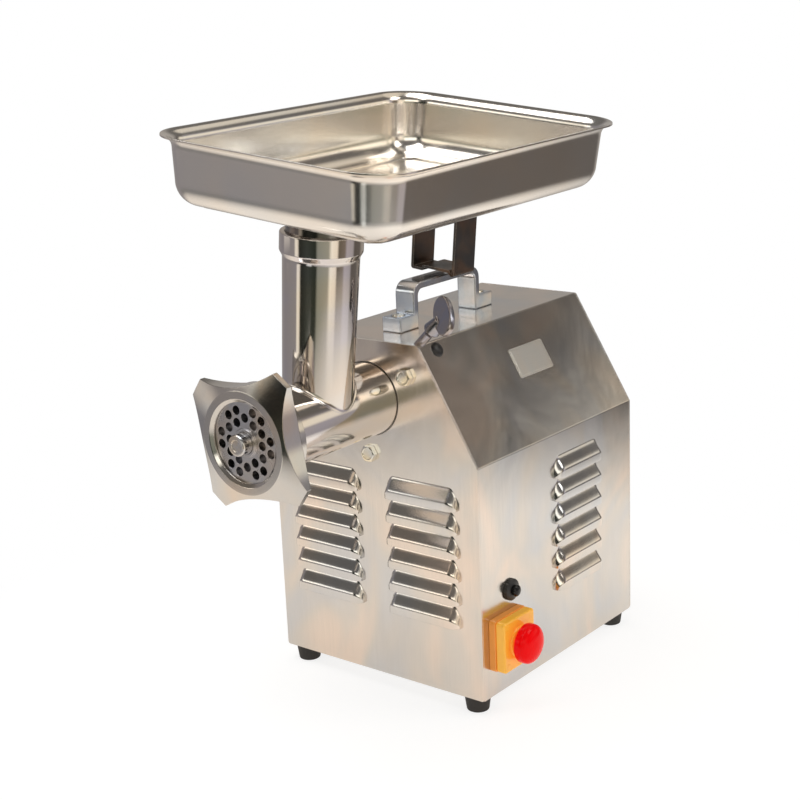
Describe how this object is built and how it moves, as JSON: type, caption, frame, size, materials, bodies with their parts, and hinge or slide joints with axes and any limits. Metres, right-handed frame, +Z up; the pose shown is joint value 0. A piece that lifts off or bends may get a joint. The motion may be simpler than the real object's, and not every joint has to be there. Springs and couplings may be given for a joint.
{
  "type": "electric meat grinder",
  "caption": "Bench meat grinder: steel casing with louvres, motor and gear train, screw-fed barrel with plate and four-armed ring nut, chute, feed tray, handle and stop button.",
  "frame": {"origin": "on the table, in the middle of the box that bounds the whole machine", "axes": "+Z up, -Y towards the outlet, +X towards the switch"},
  "size_m": [0.261, 0.4104, 0.5],
  "materials": {
    "casing_steel": "satin, brushed",
    "polished_steel": "mirror polished",
    "nut_steel": "satin cast",
    "tray_steel": "satin brushed",
    "strap_steel": "dark brushed",
    "machined_steel": "machined",
    "fastener_steel": "bright",
    "aluminium": "polished casting",
    "cast_housing": "as cast",
    "core_steel": "laminated",
    "motor_paint": "satin",
    "copper": "enamelled copper wire",
    "bronze": "sintered",
    "capacitor_can": "satin",
    "black_rubber": "matt",
    "black_plastic": "matt",
    "orange_plastic": "gloss",
    "yellow_plastic": "gloss",
    "red_plastic": "gloss",
    "badge_metal": "satin"
  },
  "bodies": {
    "machine": {"base_plate": "casing_steel", "casing_wrap": "casing_steel", "front_panel": "casing_steel", "rear_cover": "casing_steel", "foot_front_left": "black_rubber", "foot_front_right": "black_rubber", "foot_rear_left": "black_rubber", "foot_rear_right": "black_rubber", "foot_screws": "fastener_steel", "rear_cover_screws": "fastener_steel", "badge_plate": "badge_metal", "slope_plug": "black_plastic", "carry_handle": "aluminium", "handle_screws": "fastener_steel", "gearbox_housing": "cast_housing", "gearbox_cover": "cast_housing", "hub_bolts": "fastener_steel", "output_bearings": "machined_steel", "counter_bushes": "bronze", "motor_can": "motor_paint", "motor_front_bell": "cast_housing", "motor_rear_bell": "cast_housing", "stator_core": "core_steel", "stator_windings": "copper", "motor_bearings": "machined_steel", "motor_cradle": "casing_steel", "run_capacitor": "capacitor_can", "capacitor_clip": "casing_steel", "cable_gland": "black_plastic", "switch_base": "orange_plastic", "switch_cover": "yellow_plastic", "contact_block": "black_plastic", "reset_nut": "black_plastic", "breaker_body": "black_plastic"},
    "rotor": {"motor_shaft": "machined_steel", "rotor_core": "core_steel", "motor_pinion": "machined_steel", "cooling_fan": "black_plastic"},
    "countershaft": {"counter_shaft": "machined_steel", "counter_wheel": "machined_steel", "counter_pinion": "machined_steel"},
    "drive": {"output_shaft": "machined_steel", "output_gear": "machined_steel", "auger_core": "machined_steel", "auger_flight": "machined_steel", "auger_pin": "machined_steel", "knife": "machined_steel"},
    "head": {"head_casting": "polished_steel", "plate": "machined_steel", "plate_key": "machined_steel"},
    "nut": {"ring_nut": "nut_steel"},
    "tray": {"tray_pan": "tray_steel", "tray_neck": "tray_steel", "tray_bracket": "strap_steel"},
    "clamp": {"clamp_screw": "machined_steel"},
    "stop_button": {"stop_knob": "red_plastic"},
    "reset_button": {"reset_plunger": "black_plastic"}
  },
  "joints": [
    {"name": "drive_spin", "type": "hinge", "parent": "machine", "child": "drive", "pos_m": [-0.0135, -0.02675, 0.2624], "axis": [0, 1, 0], "continuous": true},
    {"name": "counter_spin", "type": "hinge", "parent": "machine", "child": "countershaft", "pos_m": [-0.0135, 0.02325, 0.2064], "axis": [0, 1, 0], "continuous": true},
    {"name": "motor_spin", "type": "hinge", "parent": "machine", "child": "rotor", "pos_m": [-0.0135, 0.10325, 0.15565], "axis": [0, 1, 0], "continuous": true},
    {"name": "head_turn", "type": "hinge", "parent": "machine", "child": "head", "pos_m": [-0.0135, -0.07675, 0.2624], "axis": [0, 1, 0], "range_deg": [-5.9, 0]},
    {"name": "ring_nut_turn", "type": "hinge", "parent": "head", "child": "nut", "pos_m": [-0.0135, -0.18675, 0.2624], "axis": [0, -1, 0], "range_deg": [0, 360]},
    {"name": "tray_lift", "type": "slide", "parent": "head", "child": "tray", "axis": [0.1028, 0, 0.9947], "range_m": [0, 0.06]},
    {"name": "clamp_turn", "type": "hinge", "parent": "machine", "child": "clamp", "pos_m": [-0.0135, -0.03875, 0.2624], "axis": [0.7071, 0, 0.7071], "range_deg": [-360, 0]},
    {"name": "stop_press", "type": "slide", "parent": "machine", "child": "stop_button", "axis": [-1, 0, 0], "range_m": [0, 0.0025], "stiffness_N_per_m": 900},
    {"name": "reset_press", "type": "slide", "parent": "machine", "child": "reset_button", "axis": [-1, 0, 0], "range_m": [0, 0.0018], "stiffness_N_per_m": 700}
  ],
  "couplings": [
    {"joint": "counter_spin", "follows": "drive_spin", "ratio": -2.5},
    {"joint": "motor_spin", "follows": "drive_spin", "ratio": 7.8571}
  ]
}
